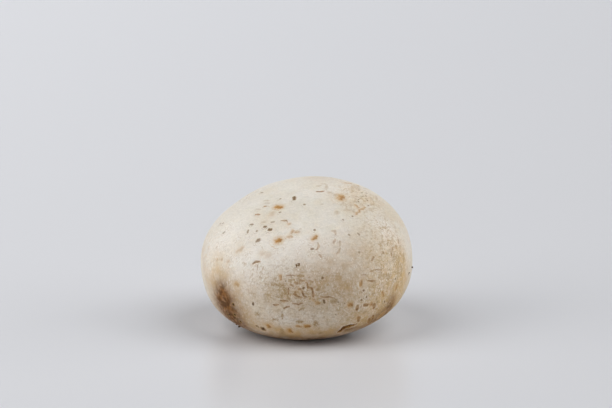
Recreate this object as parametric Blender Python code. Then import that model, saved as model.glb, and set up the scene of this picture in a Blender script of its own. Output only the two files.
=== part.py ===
"""A closed-cup button mushroom, picked and trimmed, that leans forward on its cut stem.

Metres, +Z up, front at -Y. The cap is a flattened dome whose margin rolls in under it to a closed
veil, and the short stem is cut level with the surface that the mushroom stands on. Cap, veil and
stem grew as one piece, so they are one solid. It is made in the cap's own frame, with the stem
along -Z, then leaned over, swollen out of round and pressed flat where it touches the surface.
"""

from math import copysign, cos, degrees, exp, pi, radians, sin

import bmesh
import bpy
from mathutils import Matrix, Vector

# The cap, from its middle
CAP_RADIUS = 0.0350
CAP_DEPTH_SHARE = 0.96  # its depth along Y, as a share of its width
CROWN_HEIGHT = 0.0242
CHEEK_DEPTH = 0.0182
CROWN_FULLNESS = 2.15  # 2 is an ellipse, and more is squarer
CHEEK_FULLNESS = 2.8
MARGIN_TURN = radians(150)  # how far round from the top the cap's skin reaches

# Under the cap, as radius and height from the cap's middle: the lip of the margin, the groove
# behind it, the veil, and the ring where the veil hangs on the stem
LIP_BOTTOM = (0.0199, -0.0168)
LIP_INSIDE = (0.0186, -0.0162)
VEIL_GROOVE = (0.0179, -0.0153)
VEIL_MIDDLE = (0.0160, -0.0156)
VEIL_FOLD = (0.0140, -0.0167)
RING_EDGE = (0.0131, -0.0177)
STEM_TOP = (0.0122, -0.0183)

# The stem, from its top to the cut
FOOT_RADIUS = 0.0128
STEM_WAIST = 0.0003

# How the mushroom stands: its middle's height, and how far the cap leans to the front and left
CAP_MIDDLE_HEIGHT = 0.0223
LEAN_FORWARD = radians(20)
LEAN_LEFT = radians(4.2)

# Where the cap swells or sinks: direction from its middle as degrees from +X and degrees up,
# rise, and spread in degrees
SWELLS = {
    "left shoulder, sloping": (172, 50, -0.0014, 22),
    "left cheek": (180, 12, 0.0015, 18),
    "left, low down": (180, -35, 0.0015, 22),
    "right, low down": (0, -38, 0.0006, 22),
    "right shoulder": (-15, 60, 0.0006, 14),
    "dent on the crown": (-82, 53, -0.0007, 9),
    "back, low down": (95, -25, 0.0007, 20),
    "hollow at the back": (70, 22, -0.0006, 16),
    "back left shoulder": (130, 35, 0.0005, 14),
}
SWELL_STARTS, SWELL_FULL = 0.0135, 0.0195  # radii between which swells take hold under the cap

COLUMNS = 72
CAP_ROWS = 34
UNDERSIDE_STEPS = 2  # rows for each stretch between two named points
STEM_ROWS = 4

SKIN_COLOUR = (0.80, 0.75, 0.66, 1.0)
SKIN_ROUGHNESS = 0.55

STAND = Matrix.Rotation(-LEAN_LEFT, 3, "Y") @ Matrix.Rotation(LEAN_FORWARD, 3, "X")


def clear_scene():
    for obj in list(bpy.data.objects):
        bpy.data.objects.remove(obj)


def smooth_step(value, start, end):
    share = min(max((value - start) / (end - start), 0.0), 1.0)
    return share * share * (3 - 2 * share)


def cap_profile():
    """The skin from the top of the cap to its margin, as (radius, height, hold of the swells)."""
    rows = []
    for row in range(1, CAP_ROWS + 1):
        turn = MARGIN_TURN * row / CAP_ROWS
        upper = cos(turn) >= 0
        power = 2 / (CROWN_FULLNESS if upper else CHEEK_FULLNESS)
        height = CROWN_HEIGHT if upper else CHEEK_DEPTH
        radius = CAP_RADIUS * sin(turn) ** power
        rows.append((radius, copysign(abs(cos(turn)) ** power * height, cos(turn)), 1.0))
    return rows


def curve_through(points, steps):
    """Points of a smooth curve from the second point to the last but one."""
    curve = []
    for before, start, end, after in zip(points, points[1:], points[2:], points[3:]):
        for step in range(1, steps + 1):
            t = step / steps
            weights = (
                (-t + 2 * t**2 - t**3) / 2,
                (2 - 5 * t**2 + 3 * t**3) / 2,
                (t + 4 * t**2 - 3 * t**3) / 2,
                (t**3 - t**2) / 2,
            )
            sides = zip(before, start, end, after)
            curve.append(tuple(sum(w * v for w, v in zip(weights, side)) for side in sides))
    return curve


def underside_profile(cap):
    """The lip, the veil and its ring, as the same triples as cap_profile gives."""
    before, margin = cap[-2][:2], cap[-1][:2]
    below = (STEM_TOP[0], STEM_TOP[1] - (RING_EDGE[1] - STEM_TOP[1]))
    route = [before, margin, LIP_BOTTOM, LIP_INSIDE, VEIL_GROOVE, VEIL_MIDDLE, VEIL_FOLD]
    route += [RING_EDGE, STEM_TOP, below]
    curve = curve_through(route, UNDERSIDE_STEPS)
    return [(r, z, smooth_step(r, SWELL_STARTS, SWELL_FULL)) for r, z in curve]


def swell_at(direction):
    """How far the skin stands out of the plain form in a direction from the cap's middle."""
    rise = 0.0
    for around, up, height, spread in SWELLS.values():
        turn, climb = radians(around), radians(up)
        axis = Vector((cos(climb) * cos(turn), cos(climb) * sin(turn), sin(climb)))
        away = degrees(direction.angle(axis))
        rise += height * exp(-0.5 * (away / spread) ** 2)
    return rise


def standing(local, hold):
    """A point of the cap's own frame, as it stands on the surface z = 0."""
    point = STAND @ local
    point *= 1 + hold * swell_at(point.normalized()) / CAP_RADIUS
    point.z = max(point.z + CAP_MIDDLE_HEIGHT, 0.0)
    return point


def on_ring(radius, height, angle):
    return Vector((radius * cos(angle), radius * CAP_DEPTH_SHARE * sin(angle), height))


def cut_height(radius, angle):
    """The height in the cap's own frame at which the level cut meets a line along the stem."""
    level = STAND @ on_ring(radius, 0.0, angle)
    return -(CAP_MIDDLE_HEIGHT + level.z) / STAND[2][2]


def stem_ring(share):
    """One ring of the stem, from its top at share 0 to the cut at share 1."""
    ring = []
    for column in range(COLUMNS):
        angle = 2 * pi * column / COLUMNS
        radius = STEM_TOP[0] + share * (FOOT_RADIUS - STEM_TOP[0]) - STEM_WAIST * sin(pi * share)
        height = STEM_TOP[1] + share * (cut_height(FOOT_RADIUS, angle) - STEM_TOP[1])
        ring.append(standing(on_ring(radius, height, angle), 0.0))
    return ring


def rings():
    """Every ring of the surface, from the top of the cap to the cut."""
    cap = cap_profile()
    found = []
    for radius, height, hold in cap + underside_profile(cap):
        angles = (2 * pi * column / COLUMNS for column in range(COLUMNS))
        found.append([standing(on_ring(radius, height, angle), hold) for angle in angles])
    found += [stem_ring(row / STEM_ROWS) for row in range(1, STEM_ROWS + 1)]
    return found


def build_mushroom():
    found = rings()
    top = standing(Vector((0, 0, CROWN_HEIGHT)), 1.0)
    foot = standing(Vector((0, 0, cut_height(0.0, 0.0))), 0.0)
    spots = [point for ring in found for point in ring]
    middle = Vector((0.0, 0.0, 0.0))
    for axis in (0, 1):
        middle[axis] = (min(p[axis] for p in spots) + max(p[axis] for p in spots)) / 2

    mesh = bmesh.new()
    crown = mesh.verts.new(top - middle)
    rows = [[mesh.verts.new(point - middle) for point in ring] for ring in found]
    heel = mesh.verts.new(foot - middle)
    for column in range(COLUMNS):
        after = (column + 1) % COLUMNS
        mesh.faces.new((crown, rows[0][column], rows[0][after]))
        for upper, lower in zip(rows, rows[1:]):
            mesh.faces.new((upper[column], lower[column], lower[after], upper[after]))
        mesh.faces.new((heel, rows[-1][after], rows[-1][column]))
    bmesh.ops.recalc_face_normals(mesh, faces=mesh.faces)

    data = bpy.data.meshes.new("button_mushroom")
    mesh.to_mesh(data)
    mesh.free()
    data.shade_smooth()
    data.set_sharp_from_angle(angle=radians(50))
    mushroom = bpy.data.objects.new("button_mushroom", data)
    bpy.context.collection.objects.link(mushroom)
    data.materials.append(skin_material())
    return mushroom


def skin_material():
    material = bpy.data.materials.new("mushroom_skin")
    material.use_nodes = True
    shader = material.node_tree.nodes["Principled BSDF"]
    shader.inputs["Base Color"].default_value = SKIN_COLOUR
    shader.inputs["Roughness"].default_value = SKIN_ROUGHNESS
    shader.inputs["Metallic"].default_value = 0.0
    return material


clear_scene()
build_mushroom()
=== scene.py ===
"""The looks of a closed-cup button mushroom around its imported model. Metres, +Z up, front at -Y.

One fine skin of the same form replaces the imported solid. Its marks are places on that form. Those that
the photograph shows are given by its pixels and found by looking through the camera. Those of the
sides, the back and the underside are drawn at random from a fixed seed. How near a point of the skin is
to a mark both digs it in and colours it.
"""

import random
from math import cos, pi, radians, sin

import bmesh
import bpy
import numpy as np
from mathutils import Matrix, Vector, noise
from mathutils.bvhtree import BVHTree


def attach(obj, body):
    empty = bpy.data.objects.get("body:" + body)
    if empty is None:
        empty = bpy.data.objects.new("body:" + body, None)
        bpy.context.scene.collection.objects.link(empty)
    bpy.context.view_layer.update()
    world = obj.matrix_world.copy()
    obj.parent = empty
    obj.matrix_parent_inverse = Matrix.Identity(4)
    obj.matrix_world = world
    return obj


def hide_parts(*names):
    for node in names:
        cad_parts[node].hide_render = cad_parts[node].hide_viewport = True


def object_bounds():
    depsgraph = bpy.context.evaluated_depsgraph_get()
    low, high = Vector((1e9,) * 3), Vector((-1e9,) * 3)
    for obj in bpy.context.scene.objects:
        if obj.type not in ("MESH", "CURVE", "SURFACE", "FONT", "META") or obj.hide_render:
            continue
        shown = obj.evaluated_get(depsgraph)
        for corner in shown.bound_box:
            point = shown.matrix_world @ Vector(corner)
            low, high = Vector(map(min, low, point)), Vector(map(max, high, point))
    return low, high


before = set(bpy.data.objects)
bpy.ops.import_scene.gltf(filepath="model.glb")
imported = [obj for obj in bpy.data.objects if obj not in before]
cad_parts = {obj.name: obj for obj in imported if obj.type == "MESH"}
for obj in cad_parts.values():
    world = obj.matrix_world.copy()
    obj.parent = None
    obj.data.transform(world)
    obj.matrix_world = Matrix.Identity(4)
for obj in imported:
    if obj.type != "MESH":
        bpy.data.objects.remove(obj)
CAD_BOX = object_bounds()

MM = 0.001

# The form, with the same named values as the part's source
CAP_RADIUS = 0.0350
CAP_DEPTH_SHARE = 0.96
CROWN_HEIGHT = 0.0242
CHEEK_DEPTH = 0.0182
CROWN_FULLNESS = 2.15
CHEEK_FULLNESS = 2.8
MARGIN_TURN = radians(150)
LIP_BOTTOM = (0.0199, -0.0168)
LIP_INSIDE = (0.0186, -0.0162)
VEIL_GROOVE = (0.0179, -0.0153)
VEIL_MIDDLE = (0.0160, -0.0156)
VEIL_FOLD = (0.0140, -0.0167)
RING_EDGE = (0.0131, -0.0177)
STEM_TOP = (0.0122, -0.0183)
FOOT_RADIUS = 0.0128
STEM_WAIST = 0.0003
CAP_MIDDLE_HEIGHT = 0.0223
LEAN_FORWARD = radians(20)
LEAN_LEFT = radians(4.2)
SWELLS = {  # degrees round and up, height, spread in degrees
    "left shoulder, sloping": (172, 50, -0.0014, 22),
    "left cheek": (180, 12, 0.0015, 18),
    "left, low down": (180, -35, 0.0015, 22),
    "right, low down": (0, -38, 0.0006, 22),
    "right shoulder": (-15, 60, 0.0006, 14),
    "dent on the crown": (-82, 53, -0.0007, 9),
    "back, low down": (95, -25, 0.0007, 20),
    "hollow at the back": (70, 22, -0.0006, 16),
    "back left shoulder": (130, 35, 0.0005, 14),
}
SWELL_STARTS, SWELL_FULL = 0.0135, 0.0195
STAND = np.array(Matrix.Rotation(-LEAN_LEFT, 3, "Y") @ Matrix.Rotation(LEAN_FORWARD, 3, "X"))

# The fine mesh, closest at the front
COLUMNS = 440
FRONT_CROWDING = 0.40
FRONT, BACK = -pi / 2, pi / 2
CAP_ROWS, UNDERSIDE_ROWS, STEM_ROWS, CUT_ROWS = 176, 29, 13, 6
CLOSE_STEPS, SPAN_STEPS = 6000, 40  # of the cap's profile, and between two points of the underside's
MAP_MARGIN = 0.005  # round the flat map

# The photograph's frame and its camera
PHOTO_WIDTH, PHOTO_HEIGHT = 612, 408
LENS, SENSOR = 100.0, 36.0
CAMERA_PITCH = radians(13.2)
CAMERA_DISTANCE = 0.5717
CAMERA_AIM = Vector((-0.0002, 0.0, 0.0412))
PIXELS_PER_TANGENT = LENS / SENSOR * PHOTO_WIDTH
RIGHTWARD = Vector((1.0, 0.0, 0.0))
FORWARD = Vector((0.0, cos(CAMERA_PITCH), -sin(CAMERA_PITCH)))
UPWARD = Vector((0.0, sin(CAMERA_PITCH), cos(CAMERA_PITCH)))
EYE = CAMERA_AIM - CAMERA_DISTANCE * FORWARD

# Kinds of mark, how deep each is dug in at full strength, how high its rim is, and how its sides waver
PIT_DEPTH = {"crack": 0.12, "smear": 0.02, "rust": 0.08, "speck": 0.06, "slit": 0.5}  # millimetres
RIM_HEIGHT = {"crack": 0.035, "smear": 0, "rust": 0.02, "speck": 0.03, "slit": 0.09}
MARK_WAVER, MARK_WAVER_SIZE, WAVER_SEED = 0.16 * MM, 0.9 * MM, 7

# Marks that the photograph shows, by kind: width in millimetres, strength, and routes as pixels' x, y, x, y
CRACKS = {
    "line over the belt": (0.4, 0.39, (286.7, 275.2, 291, 275.6, 294.7, 275.3)),
    "top of the belt": (0.5, 0.38, (290.4, 284.3, 293, 286.2), (294.8, 283, 299.6, 283.7),
        (300, 280.5, 303.8, 281), (309.5, 280.8, 312, 281.8), (298.7, 289.4, 301.2, 288.8)),
    "bent": (0.5, 0.66, (306.9, 282.6, 307.8, 287.6, 313, 288.6)),
    "hooked": (0.52, 0.6, (295.6, 291.4, 294.4, 294, 297.2, 296.2, 301.2, 297.6),
        (302.3, 291.2, 303.4, 295, 305, 296.6, 307, 297.1)),
    "right of the hooks": (0.62, 0.55, (312.5, 290.6, 313.4, 296.4)),
    "upright in the belt": (0.42, 0.56, (288.4, 288, 288.5, 294)),
    "long, right of the belt": (0.46, 0.47, (321, 296.7, 324, 297.2, 328.6, 297, 333.2, 297.6)),
    "under the belt": (0.49, 0.53, (280.6, 300.7, 287.6, 300.9), (273, 304.4, 275.6, 305.4, 278.6, 304.6),
        (284, 308.6, 286.6, 306.9, 289.4, 306.4), (292.8, 303.1, 296.4, 304, 298.8, 304.3, 302.5, 303)),
    "beside the left slit": (0.32, 0.34, (262.5, 269.2, 263.5, 266.9), (257.6, 265.5, 257.6, 269),
        (245, 263.6, 245, 264.6)),
    "end of the tear": (1, 0.84, (340, 331.4, 343.4, 328.8)),
    "low at the right": (0.8, 0.65, (357.4, 305.8, 357, 309.6), (374.3, 304.2, 373.8, 307.8),
        (358.6, 317.6, 358.2, 321), (369.2, 318.8, 368.6, 322.2), (373, 316, 372.6, 318.8),
        (364.4, 305.2, 367.6, 304.9)),
    "on the crown": (0.45, 0.69, (317, 191.3, 319.8, 191.4), (321.6, 191.3, 323.8, 191)),
    "curved, in the middle": (0.5, 0.38, (318, 242.4, 318.7, 246.6, 317.4, 248.8, 315.4, 249.6)),
    "bracket, in the middle": (0.55, 0.3, (332, 231, 334.9, 231.2, 335.6, 234.6),
        (335.3, 239.6, 333.3, 243.4), (340, 241.6, 339.9, 246), (340, 249, 338.8, 251.4, 336.7, 253.4),
        (319.4, 254.8, 321, 257)),
    "ticks, right cheek": (0.6, 0.4, (398.1, 239.8, 398.6, 243), (396, 246, 396, 248),
        (391.3, 252.4, 391.4, 255.4), (383.2, 252, 383.6, 253.2), (373.4, 257, 371.8, 260.4),
        (392.6, 247.8, 392.5, 249.4)),
    "level, right cheek": (0.5, 0.53, (367.9, 281, 375.9, 281)),
    "faint, right cheek": (0.45, 0.32, (375, 269.9, 381.7, 269.7), (362.2, 274.9, 365.4, 274.5),
        (370.7, 271.3, 372.7, 271.2), (371, 304.4, 375, 305)),
    "dashes at the left": (0.45, 0.63, (255.8, 214.6, 259.6, 214.6), (264.3, 206.4, 266, 206.5)),
    "fine arch": (0.38, 0.51, (281, 220.4, 284, 220.3, 286.7, 220.9, 287.6, 222.6)),
}
SMEARS = {
    "in the belt": (0.58, 1.04, (296.1, 275.4, 303.8, 276.2), (276, 296.8, 281, 296.8),
        (317, 289.3, 319.2, 289.5), (299.3, 310, 303.9, 308), (282.2, 311.7, 282.5, 319),
        (273.2, 319.2, 278.3, 319.5), (289.3, 299.6, 288.6, 297.4), (281.7, 293, 281.9, 298),
        (291.5, 285.2, 292.4, 285.8), (289.6, 280.4, 291, 280.8)),
    "left of the belt": (0.85, 1.25, (273.2, 284.8, 274.3, 284.8), (277.8, 285.2), (282, 285.2),
        (285.6, 290, 285.7, 292.6)),
    "line over the belt": (0.5, 0.37, (302.4, 266.6, 302.8, 270)),
    "low on the front": (1.05, 1.25, (298.2, 321.8, 301.4, 321.6), (282.2, 330, 282.4, 335),
        (315.6, 322.6, 315.8, 325), (320.7, 333.2), (257.4, 314.2), (334, 300.6, 335.6, 301)),
    "trail to the crown's spot": (1, 0.58, (336.4, 195.2, 335.4, 194.8), (329.6, 192.5), (337, 212.4)),
    "on the crown": (0.75, 0.52, (326.6, 185.5, 326.3, 189.5), (317, 186, 320, 185.6),
        (322, 183.5, 326, 184)),
    "right of the crown": (0.6, 0.49, (346.2, 204, 346.2, 208), (350.7, 202, 350.6, 207),
        (344, 210.2, 351.4, 210.2), (353.9, 209.6, 353.8, 212.4), (355.6, 201, 353.4, 202.2),
        (370.4, 197, 372.6, 199.6), (376, 196, 376.6, 200), (370.4, 205.2, 374, 203.8),
        (343.4, 202.6, 341, 205.2)),
    "behind the crown": (0.7, 0.46, (352.1, 185, 352.4, 192), (355.4, 185.6, 355.6, 188),
        (358.7, 186, 358.8, 190.5), (362.6, 188.2, 367.4, 189)),
    "ring, right cheek": (0.6, 0.91,
        (385.8, 276.8, 386.6, 274.8, 388.6, 274.8, 389.4, 277, 388.2, 279, 386.2, 278.6)),
    "right edge": (0.8, 0.77, (398.6, 256.6, 398.3, 264), (401.4, 266.6, 400.8, 275),
        (397.8, 267, 397.3, 279), (403.8, 254, 403.4, 262), (393.9, 255, 393.5, 261)),
    "dashes at the left": (0.5, 0.49, (264.2, 200.6, 269.4, 200.7), (264.2, 203.5, 269.4, 203.5),
        (264.4, 206.4, 269.4, 206.6), (256.2, 209.4, 260.5, 209.4), (262, 222, 265, 222)),
}
RUST_SPOTS = {
    "round the hooks": (0.7, 0.6, (299.4, 289, 300, 289.2), (313.6, 299.2), (316.8, 303, 318.4, 303.1),
        (280.6, 275.4, 280.9, 279)),
    "edge of the left slit": (0.5, 0.06, (251.6, 264.1, 254.4, 262.9)),
    "low on the front": (1.15, 1.09, (268.1, 326), (289.2, 330, 290.4, 331.6), (305.6, 326.3, 308, 326.2)),
    "weaker, low on the front": (0.8, 0.83, (297, 326.2, 299, 326.4)),
    "low at the right": (1.05, 0.88, (349.6, 304.6, 351, 304.6), (379, 317, 383.6, 313), (371.1, 304.3),
        (358, 317)),
    "on the crown": (1.5, 0.82, (340.2, 198.6, 341.2, 196.4)),
    "right of the crown": (0.6, 0.53, (355, 204.6, 357.6, 206.8), (361.4, 209, 362.8, 208.6),
        (359.5, 209.6, 359.2, 212), (356.6, 212.8, 356.2, 214), (364.5, 207.3)),
    "behind the crown": (0.8, 0.59, (346, 182.8), (350.4, 183.2), (357.6, 185.4)),
    "tick in the middle": (0.85, 0.84, (316.3, 236.2, 312.7, 239.2)),
    "ticks, right cheek": (0.8, 0.76, (361.2, 281, 360.8, 285), (382.4, 292, 383, 295.4),
        (396.8, 285, 395.4, 289.4)),
    "at the left": (1.3, 1.08, (276.6, 206.9, 280.2, 207.2), (277.8, 240.8, 279.4, 240.2)),
    "small, left of the middle": (0.7, 0.45, (288.8, 224.2), (292.6, 230.4, 291.2, 233.2),
        (287.6, 237.1, 291.2, 236.9), (295.2, 232.2, 298.4, 231.9)),
    "smudge at the left": (0.95, 0.3, (242.5, 247.5, 240.8, 249.6, 236.8, 251.4)),
    "soft, at the left": (1.5, 0.2, (261.8, 253.4), (267.8, 255), (272, 212.6, 271, 215)),
    "soft, low on the left cheek": (1.15, 0.56, (236, 284.3, 237.4, 284.4)),
    "left cheek": (0.75, 0.32, (228, 261.4), (221.6, 259.5), (217.5, 259.5)),
}
SPECKS = {
    "faint, in the belt": (0.5, 0.44, (285.6, 281), (338.2, 302.2), (344.6, 303.4), (336, 314.6)),
    "in the belt": (0.65, 0.73, (303.5, 288), (324, 300.6, 324.4, 302.6), (322.2, 278)),
    "pair over the belt": (0.42, 1.09, (296.5, 264.9, 296.6, 266.2), (299.1, 263.8, 298.9, 265.4)),
    "tick left of the front": (0.62, 0.77, (253.3, 303, 253.2, 304.8)),
    "low on the front": (1.35, 0.97, (263.2, 328.8)),
    "in the stain": (1, 1.25, (233.4, 304.6), (234.6, 314.5), (228, 314.5), (240.6, 321.8)),
    "low at the left": (0.65, 0.71, (256.8, 326)),
    "right of the crown": (0.5, 0.57, (352.5, 216.4), (343.1, 219.9), (362, 192.4), (366.4, 193.1),
        (362.4, 196), (366, 196), (358.8, 199.3), (358.6, 201.6), (367.5, 200.1), (368.6, 205.6)),
    "in the middle": (0.65, 0.59, (304.6, 204.6), (314.7, 229.8), (311.4, 249, 312.9, 248.9)),
    "faint, in the middle": (0.6, 0.14, (321.4, 204.3, 322.8, 204.3), (300.4, 229)),
    "right of the middle": (0.62, 0.42, (358.2, 233.7, 359.2, 234.6), (349.1, 234.9), (359.1, 252.4)),
    "right cheek": (0.58, 0.75, (363.6, 290.4), (366.3, 296.8), (361.4, 299.8), (384.3, 301.5),
        (395, 279.2), (390, 303.1), (408.7, 273.8)),
    "left shoulder": (0.6, 0.52, (261, 192.6, 262.6, 192.6), (280.4, 199.1), (280, 212.3),
        (250.4, 224.6, 253, 224.6), (248.2, 230.5, 247.5, 232.5), (256.7, 230.9)),
    "far left": (0.6, 0.39, (220.4, 223.7), (223.2, 223.3), (224.4, 232.2, 223.4, 233),
        (271.2, 222.3, 273.7, 221.6)),
    "on the crown": (1, 0.84, (294.2, 197, 294.2, 199.8)),
    "large, at the left": (0.85, 0.81, (269, 229.6, 270.8, 229.6)),
    "beside it": (0.62, 0.72, (264.2, 226.5, 265.8, 226.6)),
    "brown, at the left": (1, 0.64, (257, 241, 258.8, 240)),
}
SLITS = {
    "left": (0.5, 0.58, (252.8, 263.4, 255.6, 262, 260, 261.3)),
    "torn margin": (0.85, 1.01, (338.2, 332.2, 341, 330.6, 344, 327.6, 349.6, 326, 355.8, 324.4)),
}
PHOTO_MARKS = {"crack": CRACKS, "smear": SMEARS, "rust": RUST_SPOTS, "speck": SPECKS, "slit": SLITS}

# Broad washes that the photograph shows: the middle's pixel, half width and height in millimetres, strength
PHOTO_WASHES = {
    "paleness": {
        # The next two: paler skin with fine scratches, and also a painted highlight from the light at the
        # left
        "left cheek": (240, 267, 6, 6, 0.9),
        "left edge": (221, 247, 6, 9, 1.05),
        "left of the belt": (250, 286, 4, 4, 0.5),
        "right cheek, low": (376, 285, 6, 4.5, 1),
        "right of the belt": (371, 284, 4, 3.5, 0.75),
        "over the belt": (303, 259, 13, 8, 0.95),
        "beside the left slit": (250, 271, 5, 4.5, 0.95),
        "front, low down": (305, 317, 14, 4, 0.58),
        "right cheek, high": (392, 241, 4, 6, 1),
        "crown's right side": (352, 189, 6, 5, 0.45),
        "top of the crown": (322, 184, 10, 6, 0.3),
    },
    "browning": {
        "belt": (312, 290, 16, 4.4, 0.55),
        "under the belt": (306, 306, 18, 5, 0.15),
        "right of the belt": (335, 274, 9, 6.5, 0.7),
        "right cheek's front": (362, 250, 5, 4, 0.32),
        "right, low down": (368, 314, 8, 5, 0.48),
        # The next two: brown low on the left and along the bottom of the front, partly real browning and
        # partly painted contact shade
        "left, low down": (236, 307, 5, 4.5, 0.45),
        "bottom of the front": (308, 335, 24, 2.2, 1.1),
        "left, turning under": (233, 294, 4, 4, 0.2),
    },
    "ochre": {
        "right cheek": (383, 261, 6, 8.5, 0.5),
        "left cheek, low": (216, 273, 4, 6, 0.6),
        "left, turning under": (229, 284, 3.5, 3.5, 0.22),
        "left, under the dashes": (270, 226, 5, 4, 0.15),
        "right edge": (402, 268, 3.6, 7, 0.9),
        "right edge, high": (392, 214, 4, 6, 0.25),
        "under the belt": (306, 310, 18, 6, 0.32),
        "bottom of the front": (304, 334, 22, 2.4, 0.5),
        "right, under the cheek": (379, 302, 7, 6, 0.6),
        "left cheek": (241, 246, 3, 3, 0.2),
        "left, by the stain": (219, 282, 3, 3, 0.55),
        "crown's right spots": (350, 200, 5, 5, 0.2),
        "right, low down": (389, 294, 4.5, 5, 0.75),
        # The next three: orange-brown along the right rim, partly a real stain and partly painted contact
        # shade where another mushroom touched the cap
        "right, turning under": (388, 305, 4, 3.5, 1.1),
        "right edge, low down": (376, 319, 5, 2.6, 1.1),
        "right edge, by the streaks": (397, 284, 3, 4, 0.95),
        "crown's right side": (365, 196, 4, 4, 0.4),
    },
    # Dark brown low at the sides and under the torn margin: real dirt, and painted contact shade where other
    # mushrooms touched the cap low at the left and right, and painted shade in the hollow under the torn
    # margin
    "dirt_and_shade": {
        "left, turning under": (223, 293, 2.7, 3.2, 0.95),
        "left, low down": (225, 304, 4.4, 4.2, 1.2),
        "left, lower": (231, 315.5, 4, 3, 1.06),
        "left, lowest": (238.5, 323.5, 3.3, 1.8, 0.95),
        "under the torn margin": (350, 329.4, 3, 1, 0.7),
        "right, turning under": (390.2, 303.5, 2, 3, 0.75),
        "right edge, low down": (387, 310.5, 2.4, 1.9, 0.7),
        "right edge, lower": (378.5, 317, 2.8, 1.8, 0.85),
        "right edge, lower still": (371.5, 322, 2.8, 1.7, 0.55),
        "right edge, lowest": (361, 328, 3.2, 1.4, 0.3),
    },
    "crackle": {
        "belt": (298, 289, 12, 5, 1),
        "right cheek": (388, 272, 7.5, 11, 0.9),
        "crown's right side": (359, 196, 5, 6, 0.75),
        "right, low down": (366, 311, 8, 5, 0.8),
        "low on the front": (290, 322, 14, 4, 0.5),
        "left, low down": (236, 308, 5, 5, 0.5),
        "right cheek, high": (388, 232, 4, 5, 0.55),
    },
    "streak": {
        "right edge": (399, 264, 4.5, 9, 1),
        "right, low down": (390, 290, 5, 4, 0.8),
        "left edge": (208, 250, 3, 6, 0.4),
        "behind the crown": (352, 188, 4, 3, 0.7),
    },
}

# The same on the sides that the photograph doesn't show: degrees round the cap and up from its rim in
# the cap's own frame, where -90 is the front and 90 the back
HIDDEN_WASHES = {
    "paleness": {
        "right cheek's back": (38, 20, 8, 8, 0.5),
        "back": (110, 26, 9, 8, 0.5),
        "left cheek's back": (152, 12, 7, 6, 0.6),
    },
    "browning": {
        "back, low down": (92, -16, 12, 6, 0.4),
        "right, low down": (25, -22, 10, 7, 0.45),
        "left, low down": (160, -20, 10, 7, 0.45),
        "back of the crown": (70, 48, 6, 5, 0.25),
        "back left cheek": (130, 6, 6, 7, 0.3),
    },
    "ochre": {
        "right cheek's back": (22, 6, 6, 9, 0.5),
        "back": (96, 4, 7, 8, 0.5),
        "back left": (142, -12, 6, 7, 0.4),
    },
    "dirt_and_shade": {
        "back left, low down": (132, -34, 6, 4, 0.7),
        "back right, low down": (52, -34, 7, 4, 0.6),
        "left, low down": (178, -30, 6, 5, 0.5),
    },
    "crackle": {
        "back belt": (98, -10, 11, 4.5, 0.8),
        "right belt": (30, -8, 8, 6, 0.7),
        "left belt": (150, -12, 8, 5, 0.6),
        "back of the crown": (66, 32, 5, 5, 0.7),
        "back left shoulder": (140, 34, 4, 4, 0.5),
    },
    "streak": {
        "right cheek's back": (18, 0, 8, 9, 0.8),
        "back": (104, -4, 9, 8, 0.7),
        "left": (166, -4, 6, 8, 0.5),
    },
}
HIDDEN_SEED = 7
HIDDEN_AROUND = (18, 164)  # degrees round the cap that the photograph doesn't show
HIDDEN_MARKS = {  # kind, width in millimetres, degrees up, degrees long, how many
    "cracks in the belt": ("crack", 0.5, (-36, 4), (3, 9), 46),
    "smears in the belt": ("smear", 0.9, (-40, 10), (2, 6), 26),
    "orange nicks": ("rust", 0.7, (-42, 20), (0, 4), 22),
    "orange spots": ("rust", 1.2, (10, 66), (0, 1.5), 7),
    "dark dots": ("speck", 0.65, (-40, 74), (0, 1), 44),
    "dark spots": ("speck", 0.9, (-10, 60), (0, 2), 8),
    "fine lines": ("crack", 0.35, (6, 60), (2, 7), 14),
}
HIDDEN_WIDTHS, HIDDEN_STRENGTHS = (0.55, 1.2), (0.25, 0.85)
SLOPE_SPREAD, BEND_SPREAD = 0.35, 0.5  # of a hidden mark's slope, and of its change at each point
SECOND_POINT_FROM, THIRD_POINT_FROM = 0.5, 4  # degrees that a hidden mark is long
LEAST_NARROWING = 0.4  # of the rings towards the top, where a hidden mark runs round

CRUMBS_IN_PHOTO = {  # pixel, and radius in millimetres
    "on the right outline": (411.8, 267.2, 0.42),
    "under it": (408.9, 272.8, 0.26),
    "low on the front": (263.2, 328.7, 0.36),
    "left, on the outline": (239.4, 326.2, 0.44),
    "left, beside it": (236.6, 324.2, 0.30),
    "left, in the dirt": (233.4, 304.6, 0.26),
    "left, in the dirt, lower": (229.6, 314.4, 0.32),
    "left of the belt": (253.1, 304.0, 0.24),
}
HIDDEN_CRUMBS = 26
HIDDEN_CRUMBS_UP = (-46, 40, -34)  # lowest, highest and most usual degrees up from the rim
HIDDEN_CRUMB_RADII = (0.22, 0.5)  # millimetres


def smooth_step(value, start, end):
    share = np.clip((value - start) / (end - start), 0.0, 1.0)
    return share * share * (3 - 2 * share)


def evenly(route, count):
    """The given number of points spread evenly along a route, its first point left out."""
    steps = np.linalg.norm(np.diff(route, axis=0), axis=1)
    along = np.concatenate([[0.0], np.cumsum(steps)])
    places = np.linspace(0.0, along[-1], count + 1)[1:]
    return np.stack([np.interp(places, along, route[:, axis]) for axis in (0, 1)], axis=1)


def cap_profile():
    """The skin from the top of the cap to its margin, as close points of radius and height."""
    turn = np.linspace(0.0, MARGIN_TURN, CLOSE_STEPS)
    lower = np.cos(turn) < 0
    power = 2 / np.where(lower, CHEEK_FULLNESS, CROWN_FULLNESS)
    height = np.where(lower, -CHEEK_DEPTH, CROWN_HEIGHT)
    return np.stack([CAP_RADIUS * np.sin(turn) ** power, height * np.abs(np.cos(turn)) ** power], axis=1)


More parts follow.
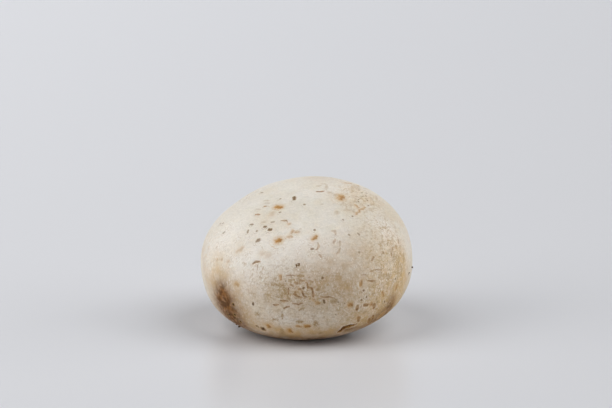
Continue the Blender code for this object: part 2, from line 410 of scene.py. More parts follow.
def curve_through(points, steps):
    """Points of a smooth curve from the second point to the last but one."""
    t = np.linspace(0.0, 1.0, steps + 1)[1:, None]
    curve = []
    for before, start, end, after in zip(points, points[1:], points[2:], points[3:]):
        curve.append(
            (-t + 2 * t**2 - t**3) / 2 * np.array(before)
            + (2 - 5 * t**2 + 3 * t**3) / 2 * np.array(start)
            + (t + 4 * t**2 - 3 * t**3) / 2 * np.array(end)
            + (t**3 - t**2) / 2 * np.array(after)
        )
    return np.concatenate(curve)


def underside_profile(cap):
    """The lip, the veil and its ring."""
    below = (STEM_TOP[0], STEM_TOP[1] - (RING_EDGE[1] - STEM_TOP[1]))
    route = [cap[-2], cap[-1], LIP_BOTTOM, LIP_INSIDE, VEIL_GROOVE, VEIL_MIDDLE, VEIL_FOLD]
    route += [RING_EDGE, STEM_TOP, below]
    return curve_through(route, SPAN_STEPS)


def column_angles():
    even = BACK + 2 * pi * np.arange(COLUMNS) / COLUMNS
    return even - FRONT_CROWDING * np.sin(even - FRONT)


def on_ring(radius, height, angle):
    radius, height, angle = np.broadcast_arrays(radius, height, angle)
    return np.stack([radius * np.cos(angle), radius * CAP_DEPTH_SHARE * np.sin(angle), height], axis=-1)


def stem_rings(angle):
    """The stem's side, from its top to the level cut, and then the cut to its middle."""
    level = on_ring(FOOT_RADIUS, 0.0, angle) @ STAND.T
    cut = -(CAP_MIDDLE_HEIGHT + level[..., 2]) / STAND[2, 2]
    share = np.arange(1, STEM_ROWS + 1)[:, None] / STEM_ROWS
    radius = STEM_TOP[0] + share * (FOOT_RADIUS - STEM_TOP[0]) - STEM_WAIST * np.sin(pi * share)
    side = on_ring(radius, STEM_TOP[1] + share * (cut - STEM_TOP[1]), angle)
    shrink = 1 - np.arange(1, CUT_ROWS)[:, None] / CUT_ROWS
    middle = -CAP_MIDDLE_HEIGHT / STAND[2, 2]
    face = on_ring(FOOT_RADIUS * shrink, middle + shrink * (cut - middle), angle)
    return np.concatenate([side, face])


def direction(around, up):
    """The unit vector in a direction given in degrees."""
    turn, climb = radians(around), radians(up)
    return np.array([cos(climb) * cos(turn), cos(climb) * sin(turn), sin(climb)])


def swell_at(ways):
    rise = np.zeros(ways.shape[:-1])
    for around, up, height, spread in SWELLS.values():
        away = np.degrees(np.arccos(np.clip(ways @ direction(around, up), -1.0, 1.0)))
        rise += height * np.exp(-0.5 * (away / spread) ** 2)
    return rise


def standing(local, hold):
    """Points of the cap's own frame, as they stand on the surface z = 0."""
    points = local @ STAND.T
    ways = points / np.linalg.norm(points, axis=-1, keepdims=True)
    points = points * (1 + hold * swell_at(ways) / CAP_RADIUS)[..., None]
    points[..., 2] = np.maximum(points[..., 2] + CAP_MIDDLE_HEIGHT, 0.0)
    return points


def waver(points, size):
    """Smooth noise as vectors, which bends what is measured from the points by it."""
    noise.seed_set(WAVER_SEED)
    return np.array([noise.noise_vector(place) for place in (points / size).tolist()])


class Form:
    """The plain form as rings of points from the top of the cap to the middle of the cut."""

    def __init__(self):
        cap = cap_profile()
        under = evenly(np.concatenate([cap[-1:], underside_profile(cap)]), UNDERSIDE_ROWS)
        profile = np.concatenate([evenly(cap, CAP_ROWS), under])
        hold = smooth_step(profile[:, 0], SWELL_STARTS, SWELL_FULL)
        hold[:CAP_ROWS] = 1.0
        self.angle = column_angles()
        cap_rings = on_ring(profile[:, :1], profile[:, 1:], self.angle)
        stem = stem_rings(self.angle)
        rings = np.concatenate([standing(cap_rings, hold[:, None]), standing(stem, 0.0)])
        top = np.array([[0.0, 0.0, CROWN_HEIGHT]])
        foot = np.array([[0.0, 0.0, -CAP_MIDDLE_HEIGHT / STAND[2, 2]]])
        self.own = np.concatenate([top, cap_rings.reshape(-1, 3), stem.reshape(-1, 3), foot])
        self.rows = len(rings)
        self.points = np.concatenate([standing(top, 1.0), rings.reshape(-1, 3), standing(foot, 0.0)])
        low, high = self.points.min(axis=0), self.points.max(axis=0)
        self.shift = np.array((CAD_BOX[0] + CAD_BOX[1]) / 2) - (low + high) / 2
        self.shift[2] = 0.0
        self.points += self.shift
        self.middle = self.shift + [0.0, 0.0, CAP_MIDDLE_HEIGHT]
        self.row = np.concatenate([[0], np.repeat(np.arange(1, self.rows + 1), COLUMNS), [self.rows + 1]])
        self.turn = np.concatenate([[0.0], np.tile(self.angle, self.rows), [0.0]])
        self.faces, self.flat_map = self.make_faces()
        self.normals = self.find_normals()
        self.wavering = self.points + MARK_WAVER * waver(self.points, MARK_WAVER_SIZE)
        self.tree = BVHTree.FromPolygons(self.points.tolist(), self.faces)

    def make_faces(self):
        """Faces as points, and the corners' places across and down a flat map, with its seam at the back."""
        ring = np.arange(1, len(self.points) - 1).reshape(self.rows, COLUMNS)
        after = np.roll(ring, -1, axis=1)
        left, middle, right = ((np.arange(COLUMNS) + side) / COLUMNS for side in (0, 0.5, 1))
        down = (np.arange(self.rows + 2) / (self.rows + 1))[:, None]
        upper, lower = down[1:-2], down[2:-1]
        faces, flat = [], []
        for corners in (
            (0, middle, down[0], ring[0], left, down[1], after[0], right, down[1]),
            (ring[:-1], left, upper, ring[1:], left, lower)
            + (after[1:], right, lower, after[:-1], right, upper),
            (len(self.points) - 1, middle, down[-1], after[-1], right, down[-2], ring[-1], left, down[-2]),
        ):
            grid = np.stack(np.broadcast_arrays(*corners), axis=-1).reshape(-1, len(corners) // 3, 3)
            faces += grid[..., 0].astype(int).tolist()
            flat.append(grid[..., 1:].reshape(-1, 2))
        return faces, np.concatenate(flat)

    def find_normals(self):
        grid = self.points[1:-1].reshape(self.rows, COLUMNS, 3)
        around = np.roll(grid, -1, axis=1) - np.roll(grid, 1, axis=1)
        down = np.gradient(grid, axis=0)
        across = np.cross(down, around).reshape(-1, 3)
        across /= np.linalg.norm(across, axis=1, keepdims=True) + 1e-12
        return np.concatenate([[[0, 0, 1]], across, [[0, 0, -1]]])

    def seen_at(self, pixel):
        """The place that shows at a pixel of the photograph, or the nearest to it past the outline."""
        x, y = pixel
        across, up = (x - PHOTO_WIDTH / 2) / PIXELS_PER_TANGENT, (PHOTO_HEIGHT / 2 - y) / PIXELS_PER_TANGENT
        ray = FORWARD + across * RIGHTWARD + up * UPWARD
        place = self.tree.ray_cast(EYE, ray.normalized())[0]
        if place is None:
            reach = (Vector(self.middle) - EYE).dot(ray) / ray.length_squared
            place = self.tree.find_nearest(EYE + reach * ray)[0]
        return np.array(place)

    def lying_at(self, around_and_up):
        """The place in a direction from the cap's middle, in degrees of the cap's own frame."""
        way = STAND @ direction(*around_and_up)
        outside = Vector(self.middle + 3 * CAP_RADIUS * way)
        return np.array(self.tree.ray_cast(outside, Vector(-way))[0])

    def faces_camera(self, place):
        return float(self.normal_at(place) @ (np.array(EYE) - place)) > 0

    def normal_at(self, place):
        return np.array(self.tree.find_nearest(Vector(place))[1])

    def turning(self, heights):
        """Each point as its way round the cap, with its own height in the given number for each metre."""
        return np.stack([np.cos(self.turn), np.sin(self.turn), heights * self.own[:, 2]], axis=1)


form = Form()


def way_from(route, reach):
    """The points near a route, and the way to each from it along the skin, with the reach as 1."""
    middle = route.mean(axis=0)
    span = np.linalg.norm(route - middle, axis=1).max() + (1 - UNMARKED) * reach
    near = np.flatnonzero(((form.wavering - middle) ** 2).sum(axis=1) < span**2)
    spots, normals = form.wavering[near], form.normals[near]
    steps = np.linalg.norm(np.diff(route, axis=0), axis=1)
    starts, best = np.cumsum(steps) - steps, None
    thinning = (1 - THIN_END) * min(1.0, steps.sum() / (LONG_IN_REACHES * reach))
    if len(route) == 1:
        route, steps, starts = np.repeat(route, 2, axis=0), np.array([0.0]), np.array([0.0])
    for start, end, step, gone in zip(route, route[1:], steps, starts):
        share = np.clip((spots - start) @ (end - start) / max(step, 1e-9) ** 2, 0.0, 1.0)
        way = spots - start - share[:, None] * (end - start)
        way -= (way * normals).sum(axis=1)[:, None] * normals
        along = (gone + share * step) / steps.sum() if step else 0.5
        way /= (reach * (1 - thinning * (1 - np.sin(pi * along * np.ones(len(spots))))))[:, None]
        closer = slice(None) if best is None else np.linalg.norm(way, axis=1) < np.linalg.norm(best, axis=1)
        best = way.copy() if best is None else best
        best[closer] = way[closer]
    return near, best


def wash_at(place, half_width, half_height):
    """How strongly a soft oval on the form covers each of its points, from 0 to 1."""
    normal = form.normal_at(place)
    level = np.cross([0.0, 0.0, 1.0], normal)
    level /= np.linalg.norm(level)
    climb = np.cross(normal, level)
    away = form.points - place
    depth = max(half_width, half_height)
    sizes = ((level, half_width), (climb, half_height), (normal, depth))
    return np.exp(-0.5 * sum((away @ axis / size) ** 2 for axis, size in sizes) / MM**2)


LOW_BROWNING = 0.42  # how much the whole lower half is browned
LOW_STARTS, LOW_FULL = -1 * MM, 9 * MM  # below the rim
FLOOR_SHADE = 0.70  # how dark the skin is painted where it nears the floor: a painted contact shade
NEAR_FLOOR, AT_FLOOR = 6 * MM, 1 * MM


def washes():
    """The broad washes, each as one value for every point of the form."""
    fields = {}
    for name in PHOTO_WASHES:
        clear = np.ones(len(form.points))
        for find, group in ((form.seen_at, PHOTO_WASHES[name]), (form.lying_at, HIDDEN_WASHES[name])):
            for x, y, half_width, half_height, strength in group.values():
                clear *= np.maximum(1 - strength * wash_at(find((x, y)), half_width, half_height), 0.0)
        fields[name] = 1 - clear
    low = smooth_step(-form.own[:, 2], LOW_STARTS, LOW_FULL)
    fields["browning"] = 1 - (1 - fields["browning"]) * (1 - LOW_BROWNING * low)
    # Painted contact shade: the skin is darkened towards the floor, in the same field as the dirt
    near_floor = smooth_step(-form.points[:, 2], -NEAR_FLOOR, -AT_FLOOR)
    fields["dirt_and_shade"] = 1 - (1 - fields["dirt_and_shade"]) * (1 - FLOOR_SHADE * near_floor)
    return fields


def hidden_routes():
    """Marks on the sides that the photograph doesn't show, drawn at random."""
    draw = random.Random(HIDDEN_SEED)
    for kind, width, heights, lengths, count in HIDDEN_MARKS.values():
        for _ in range(count):
            around, up = draw.uniform(*HIDDEN_AROUND), draw.uniform(*heights)
            slope, length = draw.gauss(0.0, SLOPE_SPREAD), draw.uniform(*lengths)
            steps = 1 + int(length > SECOND_POINT_FROM) + int(length > THIRD_POINT_FROM)
            route = [form.lying_at((around, up))]
            for _ in range(steps - 1):
                around += length / max(cos(radians(up)), LEAST_NARROWING) / steps
                up += length * slope / steps
                slope += draw.gauss(0.0, BEND_SPREAD)
                route.append(form.lying_at((around, up)))
            if form.faces_camera(route[0]) or form.faces_camera(route[-1]):
                continue
            yield kind, width * draw.uniform(*HIDDEN_WIDTHS), draw.uniform(*HIDDEN_STRENGTHS), route


def photo_routes():
    for kind, groups in PHOTO_MARKS.items():
        for width, strength, *routes in groups.values():
            for route in routes:
                yield kind, width, strength, [form.seen_at(pixel) for pixel in zip(route[::2], route[1::2])]


THIN_END = 0.45  # a long mark's thickness at its ends, as a share of its thickness in the middle
LONG_IN_REACHES = 6  # how long a mark is, in reaches, to be thinned so much
REACH_IN_WIDTHS = {"crack": 1.05, "smear": 1.15, "rust": 1.25, "speck": 0.95, "slit": 1.15}
UNMARKED = -0.8  # how near a mark counts where there is none
LOOKS = ("crack", "smear", "rust", "speck")


def marks():
    """How near each point is to each kind of mark, the way from it as seen from there, and its strength."""
    nearest = {kind: np.full(len(form.points), UNMARKED) for kind in PIT_DEPTH}
    ways = {kind: np.ones((len(form.points), 3)) for kind in PIT_DEPTH}
    holds = {kind: np.zeros(len(form.points)) for kind in PIT_DEPTH}
    for source in (photo_routes(), hidden_routes()):
        for kind, width, strength, route in source:
            near, way = way_from(np.array(route), REACH_IN_WIDTHS[kind] * width * MM)
            closeness = 1 - np.linalg.norm(way, axis=1)
            better = closeness > nearest[kind][near]
            here = near[better]
            nearest[kind][here], ways[kind][here] = closeness[better], way[better]
            holds[kind][here] = strength
    return nearest, ways, holds


def bumps(points, size, seed):
    """Smooth noise from about -1 to 1, whose bumps are about as wide as size in the points' unit."""
    return np.array([noise.noise(place) for place in (points / size + seed).tolist()])


# Low relief: its bumps' height in millimetres, their width in millimetres or as an angle, and their seed
SKIN_BUMPS = {"swellings": (0.13, 11, 3.1), "dimples": (0.06, 4.5, 8.7), "grain": (0.022, 1.6, 5.2)}
WRINKLES, CRACKLE_WRINKLES, WRINKLE_SIZE, WRINKLE_SEED = 0.012 * MM, 0.022 * MM, 0.9 * MM, 12.4
LEVEL_STRETCH = (0.45, 0.45, 1.0)  # what makes the wrinkles longer round the cap than up it
STEM_SMOOTHNESS = 0.6
PART_BUMPS = {
    "veil": ((0.10, 0.05, 1.3), (0.16, 0.16, 2.6)),
    "lip": ((0.26, 0.22, 4.9), (0.10, 0.07, 6.1)),
    "stem": ((0.10, 0.09, 7.7), (0.16, 0.35, 9.3)),
}
PART_HEIGHTS = {"veil": 60, "lip": 60, "stem": 12}  # angles for each metre of height
COLOUR_HEIGHTS = 30
TORN_EDGE = ((350, 330), (2.6, 0.9), 0.30 * MM)  # the margin under the tear, set back: pixel, size, depth


def relief(fields, nearest, holds, masks):
    """How far the living skin stands out of the plain form along its normal."""
    points = form.points
    rise = sum(height * MM * bumps(points, size * MM, seed) for height, size, seed in SKIN_BUMPS.values())
    wrinkled = bumps(points * LEVEL_STRETCH, WRINKLE_SIZE, WRINKLE_SEED)
    rise += (WRINKLES + CRACKLE_WRINKLES * fields["crackle"]) * wrinkled
    rise *= 1 - STEM_SMOOTHNESS * masks["stem"]
    for part, layers in PART_BUMPS.items():
        turning = form.turning(PART_HEIGHTS[part])
        for height, width, seed in layers:
            rise += masks[part] * height * MM * bumps(turning, width, seed)

    for kind, depth in PIT_DEPTH.items():
        inside, rim = smooth_step(nearest[kind], 0.0, 0.8), smooth_step(nearest[kind], -0.6, -0.1)
        rise += holds[kind] * MM * (RIM_HEIGHT[kind] * rim * (1 - inside) - depth * inside)
    pixel, size, depth = TORN_EDGE
    rise -= depth * smooth_step(wash_at(form.seen_at(pixel), *size), 0.2, 0.9)
    return rise


def part_masks():
    """Where the lip, the veil, the stem and its cut are, each from 0 to 1 with soft edges."""
    radius, row = np.hypot(form.own[:, 0], form.own[:, 1]), form.row
    lip_end = (LIP_INSIDE[0] + VEIL_GROOVE[0]) / 2
    past_margin = smooth_step(row, CAP_ROWS - 6, CAP_ROWS + 2)
    inward = smooth_step(-radius, -LIP_BOTTOM[0], -lip_end)
    stem_starts = CAP_ROWS + UNDERSIDE_ROWS
    stem = smooth_step(row, stem_starts - 3, stem_starts + 1)
    return {
        "lip": past_margin * smooth_step(radius, VEIL_MIDDLE[0], LIP_BOTTOM[0]),
        "veil": past_margin * inward * (1 - stem),
        "stem": stem,
        "cut": smooth_step(row, stem_starts + STEM_ROWS - 0.5, stem_starts + STEM_ROWS + 0.5),
    }


def put_in_scene(name, data):
    thing = bpy.data.objects.new(name, data)
    bpy.context.scene.collection.objects.link(thing)
    return thing


def build_skin():
    fields, masks = washes(), part_masks()
    nearest, ways, holds = marks()
    flat = np.maximum(smooth_step(form.points[:, 2], 0.02 * MM, 1.0 * MM), 1 - masks["cut"])
    points = form.points + (relief(fields, nearest, holds, masks) * flat)[:, None] * form.normals
    points[:, 2] = np.where(masks["cut"] > 0.5, 0.0, np.maximum(points[:, 2], 0.0))

    data = bpy.data.meshes.new("mushroom_skin")
    data.from_pydata(points.tolist(), [], form.faces)
    data.update()
    data.shade_smooth()
    flat_map = data.uv_layers.new(name="OFBake")
    corners = MAP_MARGIN + (1 - 2 * MAP_MARGIN) * form.flat_map
    flat_map.data.foreach_set("uv", corners.astype(np.float32).ravel())
    torn = nearest["slit"] > nearest["crack"]  # a slit is coloured as a crack
    for field in (ways, holds):
        field["crack"][torn] = field["slit"][torn]
    plain = {**fields, **masks, **{f"{kind}_hold": holds[kind] for kind in LOOKS}}
    for name, values in plain.items():
        layer = data.attributes.new(name, "FLOAT", "POINT")
        layer.data.foreach_set("value", values.astype(np.float32))
    vectors = {"turning": form.turning(COLOUR_HEIGHTS), **{f"{kind}_way": ways[kind] for kind in LOOKS}}
    for name, values in vectors.items():
        layer = data.attributes.new(name, "FLOAT_VECTOR", "POINT")
        layer.data.foreach_set("vector", values.astype(np.float32).ravel())
    return put_in_scene("mushroom_skin", data)


class Graph:
    """The nodes of a material or a world, added one at a time and linked as they are given."""

    def __init__(self, owner, shader="Principled BSDF"):
        owner.use_nodes = True
        self.owner, self.tree = owner, owner.node_tree
        self.shader = self.tree.nodes[shader]
        self.colour = None

    def feed(self, socket, value):
        if isinstance(value, bpy.types.NodeSocket):
            self.tree.links.new(value, socket)
        else:
            socket.default_value = value

    def add(self, kind, inputs, output, **settings):
        node = self.tree.nodes.new(kind)
        for name, value in settings.items():
            setattr(node, name, value)
        for name, value in inputs.items():
            self.feed(node.inputs[name], value)
        return node.outputs[output]

    def set(self, **values):
        """Sets or links the shader's sockets, with _ for the spaces in their names."""
        for name, value in values.items():
            self.feed(self.shader.inputs[name.replace("_", " ")], value)

    def millimetres(self):
        place = self.add("ShaderNodeTexCoord", {}, "Object")
        return self.scaled(place, (1 / MM, 1 / MM, 1 / MM))

    def vectors(self, operation, first, second=None, output=0):
        inputs = {0: first} if second is None else {0: first, 1: second}
        return self.add("ShaderNodeVectorMath", inputs, output, operation=operation)

    def scaled(self, vector, factors):
        return self.vectors("MULTIPLY", vector, factors)

    def attribute(self, name, output="Fac"):
        return self.add("ShaderNodeAttribute", {}, output, attribute_name=name)

    def noise(self, vector, size, detail, output="Fac"):
        """Noise whose bumps are about as wide as size in the vector's unit."""
        inputs = {"Vector": vector, "Scale": 1 / size, "Detail": detail}
        return self.add("ShaderNodeTexNoise", inputs, output)

    def edges(self, vector, size):
        """Distance to the nearest edge between cells, in cells."""
        inputs = {"Vector": vector, "Scale": 1 / size}
        return self.add("ShaderNodeTexVoronoi", inputs, "Distance", feature="DISTANCE_TO_EDGE")

    def added(self, first, second):
        return self.vectors("ADD", first, second)

    def nearness(self, kind, stray):
        """How near a point is to a mark of a kind, with a vector that makes its edge stray."""
        way = self.added(self.attribute(f"{kind}_way", "Vector"), stray)
        return self.maths("SUBTRACT", 1.0, self.vectors("LENGTH", way, output="Value"))

    def maths(self, operation, first, second=0.0):
        return self.add("ShaderNodeMath", {0: first, 1: second}, 0, operation=operation)

    def times(self, *values):
        product = values[0]
        for value in values[1:]:
            product = self.maths("MULTIPLY", product, value)
        return product

    def ramp(self, value, start, end, low=0.0, high=1.0, kind="SMOOTHSTEP"):
        """From low, where the value is start, to high, where it is end."""
        inputs = {"Value": value, "From Min": start, "From Max": end, "To Min": low, "To Max": high}
        return self.add("ShaderNodeMapRange", inputs, "Result", interpolation_type=kind)

    def ragged(self, value, rough, amount):
        """A value with noise added to it, so that what is cut from it has a ragged edge."""
        return self.maths("ADD", value, self.times(self.maths("SUBTRACT", rough, 0.5), amount))

    def mix(self, first, second, share, blend="MIX"):
        inputs = {0: share, 6: first, 7: second}
        return self.add("ShaderNodeMix", inputs, 2, data_type="RGBA", blend_type=blend)

    def paint(self, colour, *shares):
        """Lays a colour over what is painted so far, as thickly as the product of the shares says."""
        self.colour = self.mix(self.colour, colour, self.times(*shares))

    def bump(self, height, distance, strength=1.0):
        inputs = {"Height": height, "Distance": distance, "Strength": strength}
        return self.add("ShaderNodeBump", inputs, "Normal")


# Colours of the skin and its marks
CREAM = (0.765, 0.715, 0.625, 1)
PALE = (0.82, 0.785, 0.725, 1)
PALEST = (0.93, 0.885, 0.815, 1)
YELLOWED = (0.74, 0.66, 0.52, 1)
TAN = (0.55, 0.385, 0.225, 1)
OCHRE = (0.665, 0.45, 0.19, 1)
# Brown and near-black for stain and dirt, also used as painted contact shade low at the sides and near the
# floor
STAIN_AND_SHADE = (0.275, 0.121, 0.038, 1)
DIRT_AND_SHADE = (0.09, 0.04, 0.014, 1)
SMEAR = (0.43, 0.285, 0.135, 1)
NETWORK = (0.47, 0.305, 0.12, 1)
CRACK = (0.15, 0.06, 0.014, 1)
CRACK_EDGE = (0.46, 0.245, 0.07, 1)
RUST = (0.53, 0.28, 0.075, 1)
RUST_HALO = (0.67, 0.49, 0.29, 1)
RUST_HEART = (0.3, 0.135, 0.036, 1)
SPECK = (0.085, 0.04, 0.014, 1)
SPECK_EDGE = (0.42, 0.26, 0.1, 1)
SCRATCH = (0.56, 0.445, 0.32, 1)
SCRATCH_PALE = (0.95, 0.915, 0.86, 1)
STREAK = (0.57, 0.375, 0.18, 1)
HEART_ASIDE = (-0.28, 0.0, 0.12)  # how far aside a rust spot's heart sits, in reaches
VEIL_COLOUR = (0.76, 0.69, 0.58, 1)
STEM_COLOUR = (0.74, 0.67, 0.56, 1)
FIBRE = (0.52, 0.4, 0.265, 1)
CUT_COLOUR = (0.64, 0.53, 0.39, 1)
CUT_RIM = (0.36, 0.235, 0.13, 1)
SOIL_DARK = (0.05, 0.028, 0.016, 1)
SOIL_PALE = (0.19, 0.105, 0.055, 1)


def paint_ground(g, mm, patchy, dirt_and_shade):
    """Cream skin with its washes, streaks and stains, and the painted contact shade low at the sides and
    near the floor.
    """
    g.colour = CREAM
    g.paint(PALE, g.ramp(g.noise(mm, 9.0, 3), 0.35, 0.7, 0.0, 0.45))
    g.paint(YELLOWED, g.ramp(g.noise(mm, 5.5, 3), 0.45, 0.68, 0.0, 0.5))
    g.paint(PALEST, g.attribute("paleness"))
    g.paint(TAN, g.attribute("browning"), g.ramp(patchy, 0.25, 0.75, 0.6, 1.25))
    g.paint(OCHRE, g.attribute("ochre"), g.ramp(patchy, 0.3, 0.7, 0.50, 0.95))
    upright_grain = g.noise(g.scaled(mm, (1.0, 1.0, 0.14)), 0.55, 3)
    g.paint(STREAK, g.attribute("streak"), g.ramp(upright_grain, 0.46, 0.66), 0.75)
    # Stain and dirt, which are also a painted contact shade low at the sides and near the floor
    g.paint(STAIN_AND_SHADE, dirt_and_shade, g.ramp(patchy, 0.3, 0.7, 0.75, 1.05))
    g.paint(DIRT_AND_SHADE, dirt_and_shade, dirt_and_shade, g.ramp(g.noise(mm, 1.5, 3), 0.30, 0.62), 0.85)


def paint_grain(g, *grains):
    """Darkens and lightens what is painted, by each grain between its two shades."""
    shade = g.times(*(g.ramp(grain, 0.3, 0.7, darkest, lightest) for grain, darkest, lightest in grains))
    grey = g.add("ShaderNodeCombineColor", {0: shade, 1: shade, 2: shade}, 0)
    g.colour = g.mix(g.colour, grey, 1.0, "MULTIPLY")


def paint_scratches(g, mm, clean_and_unshaded):
    scratches = g.noise(g.scaled(mm, (1.5, 1.5, 0.4)), 0.55, 2)
    scratched = g.times(g.attribute("paleness"), g.ramp(g.noise(mm, 2.6, 2), 0.42, 0.60), clean_and_unshaded)
    g.paint(SCRATCH, g.ramp(scratches, 0.53, 0.64), scratched, 0.60)
    g.paint(SCRATCH_PALE, g.ramp(scratches, 0.46, 0.36), scratched, 0.80)


def paint_crackle(g, mm, clean_and_unshaded):
    """Fine cracks round large and small plates, with dabs and flecks among them. Gives the fine cracks."""
    crackle = g.times(g.attribute("crackle"), clean_and_unshaded)
    bent = g.added(mm, g.scaled(g.noise(mm, 1.7, 2, "Color"), (1.1, 1.1, 1.1)))
    large = g.ramp(g.edges(g.scaled(bent, (0.55, 0.55, 1.0)), 1.5), 0.11, 0.015)
    large = g.times(large, g.ramp(g.noise(mm, 2.1, 2), 0.46, 0.60))
    small = g.ramp(g.edges(bent, 0.95), 0.12, 0.02)
    small = g.times(small, g.ramp(g.noise(mm, 1.3, 2), 0.50, 0.64), 0.8)
    network = g.times(g.maths("MAXIMUM", large, small), crackle)
    g.paint(NETWORK, network, 0.65)
    dabs = g.noise(g.scaled(bent, (0.60, 0.60, 1.0)), 0.80, 2)
    g.paint(SMEAR, g.ramp(dabs, 0.55, 0.66), crackle, 0.70)
    g.paint(NETWORK, g.ramp(g.noise(bent, 0.50, 1), 0.60, 0.71), crackle, 0.80)
    pale_flecks = g.noise(g.scaled(bent, (1.0, 1.0, 0.6)), 0.55, 2)
    g.paint(PALEST, g.ramp(pale_flecks, 0.42, 0.33), crackle, 0.55)
    return network


def paint_marks(g, mm, tiny, clean_and_unshaded):
    """The marks, each kind with its edge, body and core. Gives the cracks and specks, as pits."""
    stray = g.scaled(g.added(g.noise(mm, 0.65, 3, "Color"), (-0.5, -0.5, -0.5)), (0.95, 0.95, 0.95))
    smear, hold = g.ragged(g.nearness("smear", stray), tiny, 1.0), g.attribute("smear_hold")
    blotched = g.ramp(g.noise(mm, 0.5, 2), 0.38, 0.58, 0.45, 1.0)
    g.paint(SMEAR, g.ramp(smear, -0.15, 0.85), hold, blotched, 0.88)

    rust, hold = g.nearness("rust", stray), g.attribute("rust_hold")
    g.paint(RUST_HALO, g.ramp(rust, -0.7, 0.6, 0.0, 0.65), hold)
    g.paint(RUST, g.ramp(g.ragged(rust, tiny, 0.7), 0.1, 0.85, 0.0, 0.90), hold)
    heart = g.ragged(g.nearness("rust", g.added(stray, HEART_ASIDE)), tiny, 0.5)
    g.paint(RUST_HEART, g.ramp(heart, 0.40, 0.9, 0.0, 0.7), hold)

    crack, hold = g.ragged(g.nearness("crack", stray), tiny, 0.4), g.attribute("crack_hold")
    g.paint(PALEST, g.ramp(crack, -0.75, -0.2), hold, clean_and_unshaded, 0.25)
    g.paint(CRACK_EDGE, g.ramp(crack, -0.1, 0.45), hold, 1.1)
    uneven = g.ramp(g.noise(mm, 1.1, 3), 0.38, 0.62, 0.35, 1.5)
    crack = g.times(g.ramp(crack, 0.15, 0.95), hold)
    g.paint(CRACK, crack, uneven, g.ramp(hold, 0.3, 1.2, 0.7, 1.7))

    speck, hold = g.ragged(g.nearness("speck", stray), tiny, 0.3), g.attribute("speck_hold")
    g.paint(PALEST, g.ramp(speck, -0.75, -0.25), hold, clean_and_unshaded, 0.20)
    g.paint(SPECK_EDGE, g.ramp(speck, -0.05, 0.5), hold, 0.95)
    speck = g.times(g.ramp(speck, 0.05, 0.95), hold)
    g.paint(SPECK, speck, 0.95)
    return g.maths("MAXIMUM", crack, speck)


def paint_underside(g, fine, patchy):
    """The veil, the stem and its cut. Gives the fibres of the veil and the stem."""
    fibres = g.noise(g.scaled(g.attribute("turning", "Vector"), (1.0, 1.0, 0.25)), 0.035, 4)
    veil, stem, cut = (g.attribute(name) for name in ("veil", "stem", "cut"))
    g.paint(g.mix(VEIL_COLOUR, FIBRE, g.ramp(fibres, 0.48, 0.72, 0.0, 0.5)), veil)
    stem_colour = g.mix(STEM_COLOUR, FIBRE, g.ramp(fibres, 0.45, 0.7, 0.0, 0.7))
    g.paint(g.mix(stem_colour, DIRT_AND_SHADE, g.ramp(patchy, 0.54, 0.70, 0.0, 0.5)), stem)
    g.paint(g.mix(CUT_COLOUR, CUT_RIM, g.ramp(fine, 0.45, 0.65, 0.1, 0.5)), cut)
    return g.times(fibres, g.maths("MAXIMUM", veil, stem))


def skin_material():
    g = Graph(bpy.data.materials.new("skin"))
    mm = g.millimetres()
    patchy, fine, tiny = g.noise(mm, 3.2, 4), g.noise(mm, 0.9, 4), g.noise(mm, 0.42, 3)
    level_grain = g.noise(g.scaled(mm, (0.22, 0.22, 1.0)), 0.55, 3)
    dirt_and_shade = g.attribute("dirt_and_shade")
    clean_and_unshaded = g.maths("SUBTRACT", 1.0, dirt_and_shade)
    paint_ground(g, mm, patchy, dirt_and_shade)
    paint_grain(g, (fine, 0.955, 1.03), (level_grain, 0.97, 1.02), (tiny, 0.95, 1.035))
    paint_scratches(g, mm, clean_and_unshaded)
    network = paint_crackle(g, mm, clean_and_unshaded)
    pits = paint_marks(g, mm, tiny, clean_and_unshaded)
    fibres = paint_underside(g, fine, patchy)

    height = 0.0
    for part, share in ((fine, 0.5), (network, -0.6), (level_grain, 0.35), (pits, -0.6), (fibres, 1.5)):
        height = g.maths("ADD", height, g.times(part, share))
    g.set(
        Base_Color=g.colour,
        Roughness=g.maths("ADD", g.ramp(fine, 0.2, 0.8, 0.48, 0.62), g.times(dirt_and_shade, 0.30)),
        Normal=g.bump(height, 0.10 * MM, 0.9),
        Subsurface_Weight=0.12,
        Subsurface_Radius=(1.0, 0.55, 0.30),
        Subsurface_Scale=1.2 * MM,
        Specular_IOR_Level=0.2,
    )
    return g.owner


def crumb_material():
    g = Graph(bpy.data.materials.new("soil"))
    grain = g.noise(g.millimetres(), 0.16, 3)
    g.set(
        Base_Color=g.mix(SOIL_DARK, SOIL_PALE, g.ramp(grain, 0.35, 0.65)),
        Roughness=g.ramp(grain, 0.3, 0.7, 0.7, 0.95),
        Normal=g.bump(grain, 0.08 * MM),
    )
    return g.owner


def crumb_places():
    """Where crumbs of soil stick, as place and radius."""
    draw = random.Random(HIDDEN_SEED + 1)
    for x, y, radius in CRUMBS_IN_PHOTO.values():
        yield form.seen_at((x, y)), radius * MM
    for _ in range(HIDDEN_CRUMBS):
        around, up = draw.uniform(*HIDDEN_AROUND), draw.triangular(*HIDDEN_CRUMBS_UP)
        yield form.lying_at((around, up)), draw.uniform(*HIDDEN_CRUMB_RADII) * MM


CRUMB_LIFT = 0.30  # how far a crumb's middle stands off the skin, in its radii
CRUMB_SQUEEZE = (1.0, 0.78, 0.66)
CRUMB_LUMPS, LUMPS_ACROSS = 0.45, 1.4  # how high its lumps are, and how many to its radius


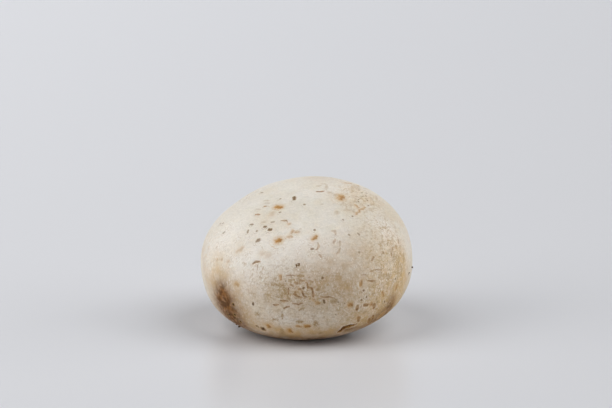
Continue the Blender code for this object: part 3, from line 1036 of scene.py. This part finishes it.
def build_crumbs():
    """Small ragged lumps of soil, each sunk by a third into the skin."""
    mesh = bmesh.new()
    for number, (place, radius) in enumerate(crumb_places()):
        made = bmesh.ops.create_icosphere(mesh, subdivisions=2, radius=radius)["verts"]
        centre = Vector(place + CRUMB_LIFT * radius * form.normal_at(place))
        for vert in made:
            lump = 1 + CRUMB_LUMPS * noise.noise(vert.co / radius * LUMPS_ACROSS + Vector((number, 0, 0)))
            vert.co = centre + Vector(a * b for a, b in zip(vert.co, CRUMB_SQUEEZE)) * lump
            vert.co.z = max(vert.co.z, 0.0)
    data = bpy.data.meshes.new("soil_crumbs")
    mesh.to_mesh(data)
    mesh.free()
    data.shade_smooth()
    return put_in_scene("soil_crumbs", data)


skin = build_skin()
skin.data.materials.append(skin_material())
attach(skin, "root")
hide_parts("button_mushroom")

crumbs = build_crumbs()
crumbs.data.materials.append(crumb_material())
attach(crumbs, "root")

# The floor, the light and the camera
FLOOR_SIZE = 12.0
FLOOR_COLOUR = (0.705, 0.711, 0.74, 1)
WARM, NEUTRAL = (1.0, 0.985, 0.965), (1.0, 1.0, 1.0)
SUN_SPREAD = radians(45)
SUNS = {  # direction in degrees round and up, strength, colour
    "left, low": (195, 16, 1.30, WARM),
    "left, high": (183, 54, 1.15, NEUTRAL),
    "right, low": (-3, 18, 1.05, NEUTRAL),
    "right, high": (-4, 56, 1.34, NEUTRAL),
}
STUDIO_COLOUR, STUDIO_LIGHT, STUDIO_GLOSS = (0.93, 0.95, 1.0, 1), 0.01, 0.80
LEFT_GLOSS = 0.45  # how much brighter the left of the studio is than its middle, in reflections


def floor_material():
    g = Graph(bpy.data.materials.new("floor"))
    g.set(Base_Color=FLOOR_COLOUR, Roughness=0.28, Specular_IOR_Level=0.35)
    return g.owner


def sun(name, azimuth, elevation, strength, colour):
    """A soft light so far off that it falls evenly, from a direction given in degrees."""
    data = bpy.data.lights.new(name, "SUN")
    data.energy = strength
    data.angle = SUN_SPREAD
    data.color = colour
    towards = Vector(direction(azimuth, elevation))
    put_in_scene(name, data).rotation_euler = towards.to_track_quat("Z", "Y").to_euler()


def studio_world():
    """Pale all round, and brighter in reflections, most so at the left, like white walls near by."""
    g = Graph(bpy.data.worlds.new("studio"), "Background")
    across = g.add("ShaderNodeSeparateXYZ", {0: g.add("ShaderNodeTexCoord", {}, "Generated")}, "X")
    left, right = STUDIO_GLOSS * (1 + LEFT_GLOSS), STUDIO_GLOSS * (1 - LEFT_GLOSS)
    gloss = g.ramp(across, -0.5, 0.5, left, right, "LINEAR")
    glossy = g.add("ShaderNodeLightPath", {}, "Is Glossy Ray")
    g.set(Color=STUDIO_COLOUR, Strength=g.ramp(glossy, 0.0, 1.0, STUDIO_LIGHT, gloss, "LINEAR"))
    return g.owner


def studio():
    bpy.ops.mesh.primitive_plane_add(size=FLOOR_SIZE)
    floor = bpy.context.object
    floor.name = "floor"
    floor.data.materials.append(floor_material())
    for name, settings in SUNS.items():
        sun(name, *settings)
    bpy.context.scene.world = studio_world()


def look_through_camera():
    data = bpy.data.cameras.new("camera")
    data.lens = LENS
    data.sensor_width = SENSOR
    data.clip_start = 10 * MM
    camera = put_in_scene("camera", data)
    camera.location = EYE
    camera.rotation_euler = (pi / 2 - CAMERA_PITCH, 0.0, 0.0)
    bpy.context.scene.camera = camera
    bpy.context.scene.view_settings.view_transform = "Standard"


studio()
look_through_camera()
